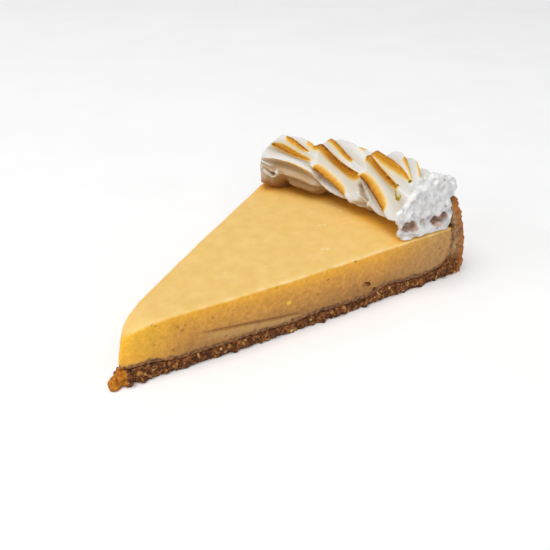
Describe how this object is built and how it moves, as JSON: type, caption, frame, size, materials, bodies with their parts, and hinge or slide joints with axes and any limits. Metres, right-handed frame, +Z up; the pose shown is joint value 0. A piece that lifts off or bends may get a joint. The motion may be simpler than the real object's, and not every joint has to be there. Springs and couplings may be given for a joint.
{
  "type": "lemon meringue pie slice",
  "caption": "Slice of lemon meringue pie with a crumb crust, a lemon custard filling and a toasted rope of piped meringue along its outer wall.",
  "frame": {"origin": "under the middle of the bounding box, on the table", "axes": "+Y from the slice's pointed end to its crust wall, +Z up"},
  "size_m": [0.0913, 0.1437, 0.0447],
  "materials": {
    "crust": "dry baked biscuit crumbs, dark brown with golden bits",
    "lemon_filling": "smooth baked lemon custard with a faint sheen, fine pores on the cut faces",
    "meringue": "white whipped meringue, smooth, with torch-browned ridges"
  },
  "bodies": {
    "root": {"crust": "crust", "lemon_filling": "lemon_filling", "meringue": "meringue"}
  },
  "joints": []
}
